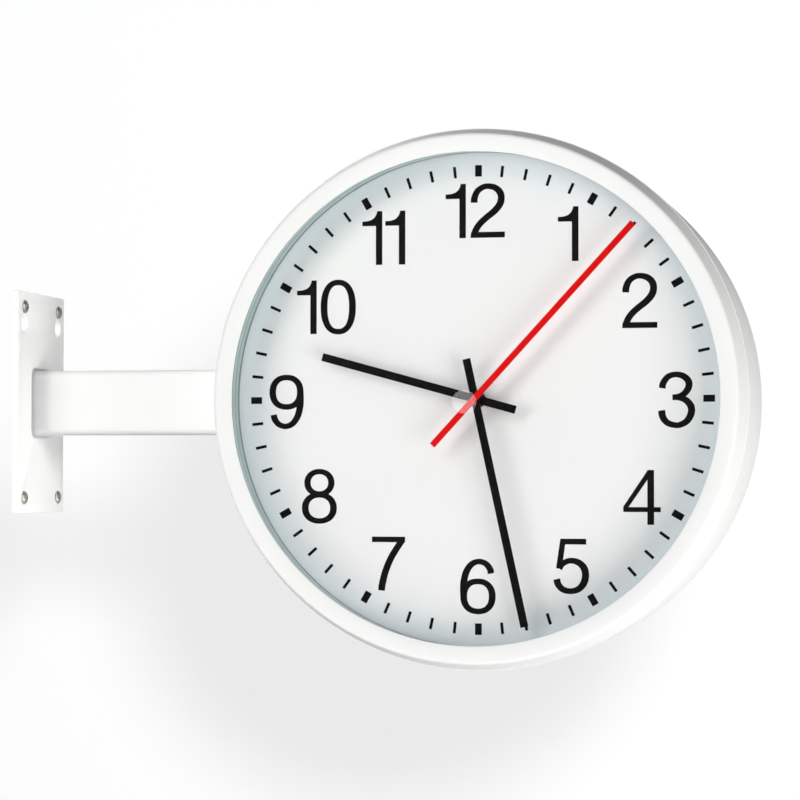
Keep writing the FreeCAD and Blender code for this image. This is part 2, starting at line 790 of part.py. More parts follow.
SHARED = {
    "wall_plate": wall_plate,
    "wall_screws": wall_screws,
    "bracket_arm": bracket_arm,
    "arm_plug": arm_plug,
    "arm_clamp": arm_clamp,
    "arm_bolts": arm_bolts,
    "case_drum": case_drum,
    "dial_carrier": dial_carrier,
    "bezel_screws": bezel_screws,
}

EACH_FACE = {
    "bezel": bezel,
    "gasket": gasket,
    "glass": glass,
    "spacer_ring": spacer_ring,
    "dial": dial,
    "bush_nut": bush_nut,
    "movement_case": movement_case,
    "movement_cover": movement_cover,
    "train_bridge": train_bridge,
    "stator": stator,
    "coil": coil,
    "circuit_board": circuit_board,
    "battery": battery,
    "battery_contacts": battery_contacts,
    "rotor": rotor,
    "step_wheel": step_wheel,
    "second_wheel": second_wheel,
    "third_wheel": third_wheel,
    "minute_wheel": minute_wheel,
    "motion_wheel": motion_wheel,
    "hour_wheel": hour_wheel,
    "setting_knob": setting_knob,
    "hour_hand": hour_hand,
    "minute_hand": minute_hand,
    "second_hand": second_hand,
}

os.makedirs("parts", exist_ok=True)
for name, make in SHARED.items():
    make().exportStep("parts/" + name + ".step")
for name, make in EACH_FACE.items():
    piece = make()
    for side in SIDES:
        facing(piece, side).exportStep("parts/" + side + "_" + name + ".step")
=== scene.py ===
# Looks for the double sided clock on its wall bracket. Metres, +Z up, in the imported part's own frame.
# Sizes are written in millimetres, as in the part's source, and go through mm() on their way in.
import json
from math import acos, atan2, cos, degrees, hypot, pi, radians, sin, sqrt

import bmesh
import bpy
from mathutils import Matrix, Vector


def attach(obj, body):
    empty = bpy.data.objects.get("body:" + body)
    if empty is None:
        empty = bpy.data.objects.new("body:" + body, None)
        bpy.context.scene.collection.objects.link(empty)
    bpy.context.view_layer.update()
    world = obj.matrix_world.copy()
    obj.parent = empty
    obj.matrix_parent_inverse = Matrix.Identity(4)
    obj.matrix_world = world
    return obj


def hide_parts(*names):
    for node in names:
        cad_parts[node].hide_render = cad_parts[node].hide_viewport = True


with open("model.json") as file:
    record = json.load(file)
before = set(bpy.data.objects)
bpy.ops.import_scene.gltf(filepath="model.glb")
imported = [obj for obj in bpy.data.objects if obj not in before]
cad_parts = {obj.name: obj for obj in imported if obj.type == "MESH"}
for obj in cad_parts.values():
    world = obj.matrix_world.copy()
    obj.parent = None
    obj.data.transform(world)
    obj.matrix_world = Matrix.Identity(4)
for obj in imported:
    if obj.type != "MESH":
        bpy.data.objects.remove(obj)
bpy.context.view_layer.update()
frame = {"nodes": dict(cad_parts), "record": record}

SIDES = ("front", "rear")
AXIS_X = 362.0
DRUM_R = 200.0
DIAL_W = 45.5
FINE = 288
SHARP = 30.0


def mm(value):
    return value / 1000.0


# ---- Placing: a face's own u (right), v (up) and w (outward) go to the row frame ----
def on_face(side, u, v, w):
    way = 1.0 if side == "front" else -1.0
    return Vector((mm(AXIS_X + way * u), mm(-way * w), mm(v)))


def finish_mesh(name, bm, sharp=SHARP):
    bmesh.ops.remove_doubles(bm, verts=bm.verts, dist=1e-7)
    bmesh.ops.recalc_face_normals(bm, faces=bm.faces)
    mesh = bpy.data.meshes.new(name)
    bm.to_mesh(mesh)
    bm.free()
    mesh.shade_smooth()
    mesh.set_sharp_from_angle(angle=radians(sharp))
    piece = bpy.data.objects.new(name, mesh)
    bpy.context.scene.collection.objects.link(piece)
    return piece


def with_modifiers(piece):
    """The same piece with what its modifiers do written into its mesh."""
    graph = bpy.context.evaluated_depsgraph_get()
    mesh = bpy.data.meshes.new_from_object(piece.evaluated_get(graph))
    piece.modifiers.clear()
    piece.data = mesh
    mesh.shade_smooth()
    mesh.set_sharp_from_angle(angle=radians(SHARP))
    return piece


def joined(name, pieces):
    bm = bmesh.new()
    for piece in pieces:
        bm.from_mesh(piece.data)
        bpy.data.objects.remove(piece)
    mesh = bpy.data.meshes.new(name)
    bm.to_mesh(mesh)
    bm.free()
    mesh.shade_smooth()
    mesh.set_sharp_from_angle(angle=radians(SHARP))
    whole = bpy.data.objects.new(name, mesh)
    bpy.context.scene.collection.objects.link(whole)
    return whole


def cut_by(piece, tools):
    for tool in tools:
        cut = piece.modifiers.new("cut", "BOOLEAN")
        cut.operation = "DIFFERENCE"
        cut.solver = "EXACT"
        cut.object = tool
    with_modifiers(piece)
    for tool in tools:
        bpy.data.objects.remove(tool)
    return piece


# ---- Outline helpers, all in millimetres ----
def arc_points(centre, radius, start, end, steps):
    return [(centre[0] + radius * cos(radians(start + (end - start) * i / steps)),
             centre[1] + radius * sin(radians(start + (end - start) * i / steps))) for i in range(steps + 1)]


def through(a, b, c, steps):
    """Points on the circle from a through b to c."""
    d = 2 * (a[0] * (b[1] - c[1]) + b[0] * (c[1] - a[1]) + c[0] * (a[1] - b[1]))
    sq = [p[0] ** 2 + p[1] ** 2 for p in (a, b, c)]
    x = (sq[0] * (b[1] - c[1]) + sq[1] * (c[1] - a[1]) + sq[2] * (a[1] - b[1])) / d
    y = (sq[0] * (c[0] - b[0]) + sq[1] * (a[0] - c[0]) + sq[2] * (b[0] - a[0])) / d
    start = degrees(atan2(a[1] - y, a[0] - x))
    end = degrees(atan2(c[1] - y, c[0] - x))
    return arc_points((x, y), hypot(a[0] - x, a[1] - y), start, end, steps)


def rounded(corners, steps=4):
    """A closed outline from (x, y, corner radius) entries."""
    points = []
    count = len(corners)
    for i, (x, y, radius) in enumerate(corners):
        if radius <= 0:
            points.append((x, y))
            continue
        here = Vector((x, y))
        to_last = (Vector(corners[i - 1][:2]) - here).normalized()
        to_next = (Vector(corners[(i + 1) % count][:2]) - here).normalized()
        half = acos(max(-1.0, min(1.0, to_last.dot(to_next)))) / 2
        reach = radius / max(1e-6, sin(half)) * cos(half)
        start = here + to_last * reach
        end = here + to_next * reach
        for k in range(steps + 1):
            t = k / steps
            points.append(tuple(start * (1 - t) ** 2 + here * 2 * t * (1 - t) + end * t ** 2))
    return points


def bridge(bm, pairs):
    """Faces between loops of vertices, pair by pair. A loop may be one point over and over."""
    for a, b in pairs:
        for k in range(len(a)):
            n = (k + 1) % len(a)
            corners = []
            for vert in (a[k], a[n], b[n], b[k]):
                if vert not in corners:
                    corners.append(vert)
            if len(corners) > 2:
                bm.faces.new(corners)


def lathe(name, outline, side, closed=True, segments=FINE, sharp=SHARP):
    """A ring turned about the clock's axis from (radius, w) points. Points at radius 0 close a disc."""
    bm = bmesh.new()
    rings = []
    for radius, w in outline:
        if radius < 1e-6:
            rings.append([bm.verts.new(on_face(side, 0, 0, w))] * segments)
            continue
        rings.append([bm.verts.new(on_face(side, radius * cos(2 * pi * k / segments),
                                           radius * sin(2 * pi * k / segments), w)) for k in range(segments)])
    after = rings[1:] + rings[:1] if closed else rings[1:]
    bridge(bm, zip(rings, after))
    return finish_mesh(name, bm, sharp)


def plate_from(name, outer, holes, thickness, bevel, place):
    """A flat plate with holes and softened edges; place(x, y, z) puts a point into the row frame."""
    curve = bpy.data.curves.new(name, "CURVE")
    curve.dimensions = "2D"
    curve.fill_mode = "BOTH"
    for outline in [outer] + holes:
        spline = curve.splines.new("POLY")
        spline.points.add(len(outline) - 1)
        for point, (x, y) in zip(spline.points, outline):
            point.co = (mm(x), mm(y), 0, 1)
        spline.use_cyclic_u = True
    curve.extrude = mm(thickness / 2 - bevel)
    curve.bevel_depth = mm(bevel)
    curve.bevel_resolution = 2
    curve.offset = -mm(bevel)
    drawn = bpy.data.objects.new(name, curve)
    bpy.context.scene.collection.objects.link(drawn)
    graph = bpy.context.evaluated_depsgraph_get()
    mesh = bpy.data.meshes.new_from_object(drawn.evaluated_get(graph))
    bpy.data.objects.remove(drawn)
    bm = bmesh.new()
    bm.from_mesh(mesh)
    bpy.data.meshes.remove(mesh)
    for vert in bm.verts:
        vert.co = place(*vert.co)
    return finish_mesh(name, bm, 40)


# ---- Materials: every one is procedural, with its own colour drift, and all but the glass with grain and bump ----
class Surface:
    """A Principled material with short ways to drive it from textures in object space."""

    def __init__(self, name, colour, roughness, metallic=0.0, specular=0.5):
        self.material = bpy.data.materials.new(name)
        self.material.use_nodes = True
        self.tree = self.material.node_tree
        self.shader = self.tree.nodes["Principled BSDF"]
        self.shader.inputs["Base Color"].default_value = (*colour, 1)
        self.shader.inputs["Roughness"].default_value = roughness
        self.shader.inputs["Metallic"].default_value = metallic
        self.shader.inputs["Specular IOR Level"].default_value = specular
        self.coords = self.tree.nodes.new("ShaderNodeTexCoord").outputs["Object"]
        self.height = None

    def node(self, kind, **values):
        made = self.tree.nodes.new(kind)
        for key, value in values.items():
            setattr(made, key, value)
        return made

    def link(self, start, end):
        self.tree.links.new(start, end)

    def stretched(self, scale):
        mapping = self.node("ShaderNodeMapping")
        mapping.inputs["Scale"].default_value = scale
        self.link(self.coords, mapping.inputs["Vector"])
        return mapping.outputs["Vector"]

    def noise(self, scale, detail=3.0, rough=0.55, vector=None):
        made = self.node("ShaderNodeTexNoise")
        made.inputs["Scale"].default_value = scale
        made.inputs["Detail"].default_value = detail
        made.inputs["Roughness"].default_value = rough
        self.link(vector or self.coords, made.inputs["Vector"])
        return made.outputs["Fac"]

    def cells(self, scale, feature="F1"):
        made = self.node("ShaderNodeTexVoronoi", feature=feature)
        made.inputs["Scale"].default_value = scale
        self.link(self.coords, made.inputs["Vector"])
        return made.outputs["Distance"]

    def waves(self, scale, direction, distortion):
        made = self.node("ShaderNodeTexWave", wave_type="BANDS", bands_direction=direction)
        made.inputs["Scale"].default_value = scale
        made.inputs["Distortion"].default_value = distortion
        self.link(self.coords, made.inputs["Vector"])
        return made.outputs["Fac"]

    def between(self, value, low, high, from_low=0.3, from_high=0.7):
        made = self.node("ShaderNodeMapRange")
        made.inputs["From Min"].default_value = from_low
        made.inputs["From Max"].default_value = from_high
        made.inputs["To Min"].default_value = low
        made.inputs["To Max"].default_value = high
        self.link(value, made.inputs["Value"])
        return made.outputs["Result"]

    def maths(self, a, b, operation="ADD"):
        """One sum on two values; each is a number or a socket. ABSOLUTE has no use for the second."""
        made = self.node("ShaderNodeMath", operation=operation)
        for value, socket in zip((a, b), made.inputs):
            if hasattr(value, "is_linked"):
                self.link(value, socket)
            else:
                socket.default_value = value
        return made.outputs["Value"]

    def mixed(self, factor, a, b):
        """A colour between a and b; each is an RGB tuple or another colour's socket."""
        made = self.node("ShaderNodeMix", data_type="RGBA")
        self.link(factor, made.inputs[0])
        for value, index in ((a, 6), (b, 7)):
            if hasattr(value, "is_linked"):
                self.link(value, made.inputs[index])
            else:
                made.inputs[index].default_value = (*value, 1)
        return made.outputs[2]

    def axis(self, name):
        made = self.node("ShaderNodeSeparateXYZ")
        self.link(self.coords, made.inputs["Vector"])
        return made.outputs[name]

    def tint(self, colour):
        self.link(colour, self.shader.inputs["Base Color"])

    def rough(self, value):
        self.link(value, self.shader.inputs["Roughness"])

    def bump(self, value, distance, strength=1.0):
        made = self.node("ShaderNodeBump")
        made.inputs["Strength"].default_value = strength
        made.inputs["Distance"].default_value = distance
        self.link(value, made.inputs["Height"])
        if self.height is not None:
            self.link(self.height, made.inputs["Normal"])
        self.height = made.outputs["Normal"]
        self.link(self.height, self.shader.inputs["Normal"])


def powder_coat():
    s = Surface("powder_coat_white", (0.93, 0.93, 0.935), 0.56, 0.0, 0.12)
    s.tint(s.mixed(s.between(s.noise(14, 4), 0, 1), (0.935, 0.935, 0.937), (0.915, 0.917, 0.922)))
    s.rough(s.between(s.noise(60, 4), 0.52, 0.62))
    s.bump(s.noise(850, 2, 0.5), 0.00003, 0.35)
    s.bump(s.cells(2600), 0.000012, 0.25)
    return s.material


def dial_white():
    """White ground with painted shade: it turns a faint blue grey towards its rim, where the bezel shades the
    dial.
    """
    s = Surface("dial_white_print_ground", (0.93, 0.93, 0.935), 0.55, 0.0, 0.2)
    across = s.maths(s.axis("X"), -mm(AXIS_X))
    squares = s.maths(s.maths(across, 2.0, "POWER"), s.maths(s.axis("Z"), 2.0, "POWER"))
    radius = s.maths(squares, 0.5, "POWER")
    # Painted shade: over the outer 30 mm the ground turns blue grey, where the bezel shades the dial.
    rim = s.between(radius, 0, 1, mm(154), mm(184))
    ground = s.mixed(s.between(s.noise(9, 3), 0, 1), (0.925, 0.923, 0.926), (0.915, 0.914, 0.919))
    s.tint(s.mixed(rim, ground, (0.89, 0.94, 0.985)))
    s.rough(s.between(s.noise(120, 3), 0.5, 0.62))
    s.bump(s.noise(2200, 2), 0.000008, 0.3)
    return s.material


def dial_ink():
    s = Surface("dial_ink_black", (0.004, 0.004, 0.004), 0.6, 0.0, 0.06)
    s.tint(s.mixed(s.between(s.noise(900, 2), 0, 1), (0.003, 0.003, 0.003), (0.006, 0.006, 0.006)))
    s.rough(s.between(s.noise(300, 3), 0.52, 0.68))
    s.bump(s.noise(1800, 2), 0.00001, 0.4)
    return s.material


# Painted shade lines round the bore wall: darker bands where its gaps and grooves lie in shade. Where each
# stands from the dial (0) to the glass (1), and how bright it is.
PAINTED_SHADE_LINES = ((0.00, 0.42), (0.14, 0.46), (0.22, 1.0), (0.45, 0.98), (0.49, 0.72), (0.56, 0.72),
                (0.60, 1.0), (0.82, 1.0), (0.87, 0.36), (1.00, 0.30))


def aluminium_with_painted_shade_lines():
    """Grey green strip; where it lines the bore it carries bands of painted shade round it, darker near the
    dial, midway and under the glass.
    """
    s = Surface("aluminium_with_painted_shade_lines", (0.50, 0.60, 0.57), 0.4, 1.0)
    grain = s.noise(60, 4, 0.6, s.stretched((1, 40, 1)))
    depth = s.maths(s.axis("Y"), 0.0, "ABSOLUTE")
    # Painted shade: a ramp darkens bands of the wall by their distance from the dial.
    lines = s.node("ShaderNodeValToRGB")
    ramp = lines.color_ramp.elements
    while len(ramp) < len(PAINTED_SHADE_LINES):
        ramp.new(0.5)
    for element, (place, level) in zip(ramp, PAINTED_SHADE_LINES):
        element.position = place
        element.color = (level * 0.66, level * 0.77, level * 0.75, 1)
    last_shade_line_w = 69.5
    s.link(s.between(depth, 0, 1, mm(DIAL_W), mm(last_shade_line_w)), lines.inputs["Fac"])
    shade_lines_and_grain = s.node("ShaderNodeMix", data_type="RGBA", blend_type="MULTIPLY")
    shade_lines_and_grain.inputs[0].default_value = 1.0
    s.link(lines.outputs["Color"], shade_lines_and_grain.inputs[6])
    s.link(s.mixed(s.between(grain, 0, 1), (1.0, 1.0, 1.0), (0.80, 0.80, 0.80)), shade_lines_and_grain.inputs[7])
    s.tint(shade_lines_and_grain.outputs[2])
    s.rough(s.between(grain, 0.34, 0.5))
    s.bump(grain, 0.00002, 0.4)
    return s.material


def zinc():
    s = Surface("zinc_plated_steel", (0.70, 0.70, 0.68), 0.3, 1.0)
    mottle = s.noise(420, 5, 0.6)
    s.tint(s.mixed(s.between(mottle, 0, 1), (0.56, 0.55, 0.50), (0.32, 0.315, 0.29)))
    s.rough(s.between(s.noise(900, 4), 0.22, 0.46))
    s.bump(s.noise(1500, 3), 0.00002, 0.5)
    return s.material


def rubber():
    s = Surface("seal_rubber_black", (0.03, 0.03, 0.03), 0.75, 0.0, 0.35)
    s.tint(s.mixed(s.between(s.noise(200, 4), 0, 1), (0.022, 0.022, 0.023), (0.05, 0.05, 0.05)))
    s.rough(s.between(s.noise(500, 3), 0.65, 0.85))
    s.bump(s.noise(2500, 3), 0.00003, 0.5)
    return s.material


def moulded_black():
    s = Surface("moulded_plastic_black", (0.03, 0.03, 0.035), 0.5)
    s.tint(s.mixed(s.between(s.noise(80, 4), 0, 1), (0.026, 0.026, 0.03), (0.045, 0.045, 0.05)))
    s.rough(s.between(s.noise(700, 3), 0.42, 0.6))
    s.bump(s.cells(3000), 0.00002, 0.5)
    return s.material


def acetal():
    """Natural wheels; what stands out past the dial is blackened, as the boss behind the hands is."""
    s = Surface("acetal_natural", (0.88, 0.86, 0.80), 0.35)
    out = s.maths(s.axis("Y"), 0.0, "ABSOLUTE")
    past_dial = s.maths(out, mm(DIAL_W), "GREATER_THAN")
    natural = s.mixed(s.between(s.noise(150, 3), 0, 1), (0.88, 0.865, 0.80), (0.82, 0.80, 0.73))
    s.tint(s.mixed(past_dial, natural, (0.014, 0.014, 0.016)))
    s.rough(s.between(s.noise(800, 3), 0.3, 0.45))
    s.bump(s.noise(2600, 2), 0.00001, 0.4)
    return s.material


def laminated_iron():
    s = Surface("laminated_iron", (0.50, 0.50, 0.50), 0.35, 1.0)
    layers = s.waves(900, "Y", 0.4)
    s.tint(s.mixed(layers, (0.42, 0.42, 0.43), (0.62, 0.61, 0.60)))
    s.rough(s.between(s.noise(500, 4), 0.28, 0.5))
    s.bump(layers, 0.00003, 0.4)
    return s.material


def enamelled_wire():
    s = Surface("enamelled_wire", (0.72, 0.36, 0.18), 0.3, 1.0)
    turns = s.waves(1600, "X", 0.3)
    s.tint(s.mixed(turns, (0.42, 0.16, 0.07), (0.80, 0.42, 0.20)))
    s.rough(s.between(s.noise(300, 3), 0.24, 0.4))
    s.bump(turns, 0.00006, 0.7)
    return s.material


def printed_board():
    """Green mask over copper lines; the chip's blob and all else that stands up from the board are black."""
    s = Surface("printed_board", (0.05, 0.30, 0.15), 0.4)
    line_width, parts_w = 0.09, 29.05
    lines = s.maths(s.cells(420, "DISTANCE_TO_EDGE"), line_width, "LESS_THAN")
    mask = s.mixed(s.between(s.noise(300, 3), 0, 1), (0.02, 0.17, 0.07), (0.03, 0.24, 0.11))
    board = s.mixed(lines, mask, (0.10, 0.40, 0.16))
    raised = s.maths(s.maths(s.axis("Y"), 0.0, "ABSOLUTE"), mm(parts_w), "GREATER_THAN")
    s.tint(s.mixed(raised, board, (0.02, 0.02, 0.022)))
    s.rough(s.between(s.noise(500, 3), 0.3, 0.5))
    s.bump(lines, 0.00003, 0.5)
    return s.material


def cell_wrap():
    """A dark wrapped cell with a plain bright band near each end."""
    s = Surface("cell_wrap", (0.12, 0.14, 0.18), 0.28, 0.6)
    along = s.maths(s.maths(s.axis("X"), -mm(AXIS_X)), 0.0, "ABSOLUTE")
    band_from, steel_from = 17.5, 24.1
    band = s.maths(along, mm(band_from), "GREATER_THAN")
    steel = s.maths(along, mm(steel_from), "GREATER_THAN")
    body = s.mixed(s.between(s.noise(90, 3), 0, 1), (0.05, 0.06, 0.08), (0.09, 0.10, 0.13))
    s.tint(s.mixed(steel, s.mixed(band, body, (0.70, 0.42, 0.12)), (0.70, 0.70, 0.69)))
    s.rough(s.between(s.noise(600, 3), 0.2, 0.36))
    s.bump(s.noise(900, 2), 0.00001, 0.3)
    return s.material


def strip_metal():
    s = Surface("nickel_strip", (0.78, 0.66, 0.38), 0.3, 1.0)
    grain = s.noise(300, 4, 0.6, s.stretched((1, 1, 20)))
    s.tint(s.mixed(s.between(grain, 0, 1), (0.80, 0.70, 0.45), (0.62, 0.52, 0.30)))
    s.rough(s.between(grain, 0.22, 0.4))
    s.bump(grain, 0.00001, 0.4)
    return s.material


def hand_paint(name, colour, light):
    s = Surface(name, colour, 0.5, 0.0, 0.06)
    s.tint(s.mixed(s.between(s.noise(260, 3), 0, 1), colour, light))
    s.rough(s.between(s.noise(700, 3), 0.44, 0.58))
    s.bump(s.noise(1400, 2), 0.000015, 0.4)
    return s.material


def black_nut():
    s = Surface("blackened_steel", (0.02, 0.02, 0.02), 0.4, 0.4)
    s.tint(s.mixed(s.between(s.noise(600, 4), 0, 1), (0.014, 0.014, 0.015), (0.035, 0.034, 0.033)))
    s.rough(s.between(s.noise(900, 3), 0.3, 0.5))
    s.bump(s.noise(1500, 3), 0.00002, 0.5)
    return s.material


def float_glass():
    """Clear glass with a faint green body. Light for the dial behind passes straight through it."""
    s = Surface("float_glass", (0.995, 1.0, 0.998), 0.0)
    s.shader.inputs["IOR"].default_value = 1.33
    s.shader.inputs["Transmission Weight"].default_value = 1.0
    s.tint(s.mixed(s.between(s.noise(3, 2), 0, 1), (0.995, 1.0, 0.998), (0.992, 0.999, 0.996)))
    clear = s.node("ShaderNodeBsdfTransparent")
    clear.inputs["Color"].default_value = (0.989, 0.989, 0.99, 1)
    path = s.node("ShaderNodeLightPath")
    passes = s.maths(path.outputs["Is Shadow Ray"], path.outputs["Is Diffuse Ray"], "MAXIMUM")
    blend = s.node("ShaderNodeMixShader")
    s.link(passes, blend.inputs["Fac"])
    s.link(s.shader.outputs["BSDF"], blend.inputs[1])
    s.link(clear.outputs["BSDF"], blend.inputs[2])
    s.link(blend.outputs["Shader"], s.tree.nodes["Material Output"].inputs["Surface"])
    return s.material


FINISH = {
    "white_coat": powder_coat(),
    "dial_face": dial_white(),
    "bare_aluminium": aluminium_with_painted_shade_lines(),
    "zinc_steel": zinc(),
    "float_glass": float_glass(),
    "seal_rubber": rubber(),
    "black_plastic": moulded_black(),
    "train_plastic": acetal(),
    "motor_iron": laminated_iron(),
    "coil_copper": enamelled_wire(),
    "board_green": printed_board(),
    "cell_jacket": cell_wrap(),
    "spring_brass": strip_metal(),
    "black_hand": hand_paint("hand_paint_black", (0.002, 0.002, 0.0022), (0.004, 0.004, 0.0042)),
    "red_hand": hand_paint("hand_paint_red", (0.80, 0.006, 0.005), (0.75, 0.004, 0.004)),
    "black_nut": black_nut(),
}
INK = dial_ink()

for entry in frame["record"]["subparts"]:
    node = frame["nodes"][entry["node"]]
    node.data.materials.clear()
    node.data.materials.append(FINISH[entry["material_slot"]])


def dress(piece, body, slot, node=None, material=None):
    piece.data.materials.clear()
    piece.data.materials.append(material or FINISH[slot])
    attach(piece, body)
    if node:
        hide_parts(node)
    return piece


# ---- Bracket ----
PLATE_T, PLATE_W, PLATE_H = 4.0, 110.0, 172.0
SCREWS_ACROSS, SCREWS_UP = 80.0, 148.0
SCREW_HOLE_R = 3.15
SCREW_TURNS = (28.0, -62.0, 75.0, 8.0)


def wall_place(x, y, z):
    """Plate outlines are drawn with x to the viewer's right of the wall and y up."""
    return Vector((z + mm(PLATE_T / 2), x, y))


def screw_places():
    return [(y, z) for z in (SCREWS_UP / 2, -SCREWS_UP / 2) for y in (-SCREWS_ACROSS / 2, SCREWS_ACROSS / 2)]


def keyhole(y, z):
    round_r, drop = 7.0, 13.0
    meet = degrees(acos(SCREW_HOLE_R / round_r))
    top = arc_points((y, z), SCREW_HOLE_R, 180, 0, 16)
    return top + arc_points((y, z - drop), round_r, meet, meet - 360 + 2 * (90 - meet), 40)


def wall_plate():
    right, top, corner_r = PLATE_W / 2, PLATE_H / 2, 2
    outer = rounded([(-right, -top, corner_r), (right, -top, corner_r), (right, top, corner_r),
                     (-right, top, corner_r)], 6)
    holes = []
    for y, z in screw_places():
        holes.append(keyhole(y, z) if z > 0 else arc_points((y, z), SCREW_HOLE_R, 0, 352.5, 47))
    return plate_from("wall_plate_skin", outer, holes, PLATE_T, 0.35, wall_place)


def turned_x(name, outline, y, z):
    """A round piece turned about a line along X at (y, z), from (radius, x) points."""
    segments = 40
    bm = bmesh.new()
    rings = []
    for radius, x in outline:
        if radius < 1e-6:
            rings.append([bm.verts.new((mm(x), mm(y), mm(z)))] * segments)
            continue
        ring = []
        for k in range(segments):
            angle = 2 * pi * k / segments
            ring.append(bm.verts.new((mm(x), mm(y + radius * cos(angle)), mm(z + radius * sin(angle)))))
        rings.append(ring)
    bridge(bm, zip(rings, rings[1:]))
    return finish_mesh(name, bm)


def slab(name, low, high, turn, centre):
    """A box between two corners in millimetres, turned about X and moved to its centre."""
    bm = bmesh.new()
    bmesh.ops.create_cube(bm, size=1.0)
    for vert in bm.verts:
        point = Vector([mm(a + (b - a) * (c + 0.5)) for a, b, c in zip(low, high, vert.co)])
        vert.co = Matrix.Rotation(radians(turn), 3, "X") @ point + Vector([mm(c) for c in centre])
    return finish_mesh(name, bm)


def screw_head(index, y, z, turn):
    """A low domed head with a slot, resting on the plate."""
    head_r, dome_r, steps = 5.0, 7.0, 10
    dome = []
    for i in range(steps):
        radius = head_r * i / steps
        dome.append((radius, 0.4 + sqrt(dome_r ** 2 - radius ** 2)))
    rim = [(4.9, 5.36), (head_r, 5.2), (head_r, 4.12), (4.88, PLATE_T), (0, PLATE_T)]
    head = turned_x("screw_head_%d" % index, dome + rim, y, z)
    groove = slab("groove", (6.1, -6, -0.65), (9, 6, 0.65), turn, (0, y, z))
    cut_by(head, [groove])
    soften = head.modifiers.new("soften", "BEVEL")
    soften.width = mm(0.12)
    soften.segments = 2
    soften.limit_method = "ANGLE"
    soften.angle_limit = radians(35)
    return with_modifiers(head)


def thread_radius(x, share):
    """The radius of an M5 thread at x, a share of one turn round it. It narrows toward the end at -4."""
    pitch, root_r, depth = 0.8, 2.06, 0.44
    turn = (x / pitch + share) % 1.0
    ridge = 1 - abs(turn - 0.5) * 2
    chamfer = min(1.0, 0.84 + (x + 4.0) * 0.32)
    return (root_r + depth * ridge) * chamfer


def screw_thread(index, y, z):
    """The neck, then a metric thread with a chamfered end."""
    bm = bmesh.new()
    around, neck_r, neck_end = 32, 3.0, -1.0
    rows = [(neck_r, PLATE_T), (neck_r, neck_end)]
    rows += [(None, neck_end - 0.1 * i) for i in range(1, 31)]
    rings = []
    for radius, x in rows:
        ring = []
        for k in range(around):
            angle = 2 * pi * k / around
            r = radius or thread_radius(x, k / around)
            ring.append(bm.verts.new((mm(x), mm(y + r * cos(angle)), mm(z + r * sin(angle)))))
        rings.append(ring)
    bridge(bm, zip(rings, rings[1:]))
    bm.faces.new(rings[0])
    bm.faces.new(rings[-1])
    return finish_mesh("screw_thread_%d" % index, bm, 50)


def wall_screws():
    pieces = []
    for index, ((y, z), turn) in enumerate(zip(screw_places(), SCREW_TURNS)):
        pieces += [screw_head(index, y, z, turn), screw_thread(index, y, z)]
    return joined("wall_screw_set", pieces)


TUBE_HALF_Y, TUBE_HALF_Z, TUBE_CORNER_R, TUBE_WALL = 20, 25, 5, 3


def tube_section(across=12):
    """Points round the tube's rounded rectangle in the YZ plane, with extra ones up the sides."""
    points = []
    radius = TUBE_CORNER_R
    in_y, in_z = TUBE_HALF_Y - radius, TUBE_HALF_Z - radius
    corners = ((in_y, in_z, 0), (-in_y, in_z, 90), (-in_y, -in_z, 180), (in_y, -in_z, 270))
    bends = [arc_points((y, z), radius, start, start + 90, 10) for y, z, start in corners]
    for bend, after in zip(bends, bends[1:] + bends[:1]):
        points += bend
        for k in range(1, across):
            t = k / across
            points.append((bend[-1][0] * (1 - t) + after[0][0] * t, bend[-1][1] * (1 - t) + after[0][1] * t))
    return points


def saddle_x(z):
    """Where the drum's side is at height z."""
    return AXIS_X - sqrt(DRUM_R ** 2 - z ** 2)


def arm_tube():
    section = tube_section()
    inner_y, inner_z = TUBE_HALF_Y - TUBE_WALL, TUBE_HALF_Z - TUBE_WALL
    inner = [(y * inner_y / TUBE_HALF_Y, z * inner_z / TUBE_HALF_Z) for y, z in section]
    bm = bmesh.new()
    stations = [0.0, 0.02, 0.25, 0.5, 0.75, 0.98, 1.0]
    loops = []
    for outline, order in ((section, stations), (inner, stations[::-1])):
        for share in order:
            loop = []
            for y, z in outline:
                x = PLATE_T + (saddle_x(z) - PLATE_T) * share
                loop.append(bm.verts.new((mm(x), mm(y), mm(z))))
            loops.append(loop)
    bridge(bm, zip(loops, loops[1:] + loops[:1]))
    return finish_mesh("arm_tube_skin", bm, 35)


def weld_bead():
    """The painted fillet that joins the tube to the plate, laid in small overlapping ripples."""
    leg_length, ripple_pitch, hollow, rows = 2.6, 2.6, 1.15, 7
    section = tube_section(24)
    count = len(section)
    lengths = [0.0]
    for i in range(count):
        a, b = section[i], section[(i + 1) % count]
        lengths.append(lengths[-1] + hypot(b[0] - a[0], b[1] - a[1]))
    bm = bmesh.new()
    loops = [[] for _ in range(rows)]
    for i, (y, z) in enumerate(section):
        last, after = section[i - 1], section[(i + 1) % count]
        out = Vector((after[1] - last[1], last[0] - after[0])).normalized()
        ripple = 1.0 + 0.10 * sin(lengths[i] * 2 * pi / ripple_pitch) + 0.06 * sin(lengths[i] * 0.9)
        leg = leg_length * ripple
        for j in range(rows):
            angle = radians(90.0 * j / (rows - 1))
            off = leg * (1 - sin(angle)) ** hollow
            up = leg * (1 - cos(angle)) ** hollow
            loops[j].append(bm.verts.new((mm(PLATE_T + up), mm(y + out.x * off), mm(z + out.y * off))))
    bridge(bm, zip(loops, loops[1:]))
    return finish_mesh("arm_weld_bead", bm, 60)


dress(wall_plate(), "root", "white_coat", "wall_plate")
dress(wall_screws(), "root", "zinc_steel", "wall_screws")
dress(arm_tube(), "root", "white_coat", "bracket_arm")
dress(weld_bead(), "root", "white_coat")


# ---- Case ----
SET_SCREW_W = 53
DRUM_HALF = 58


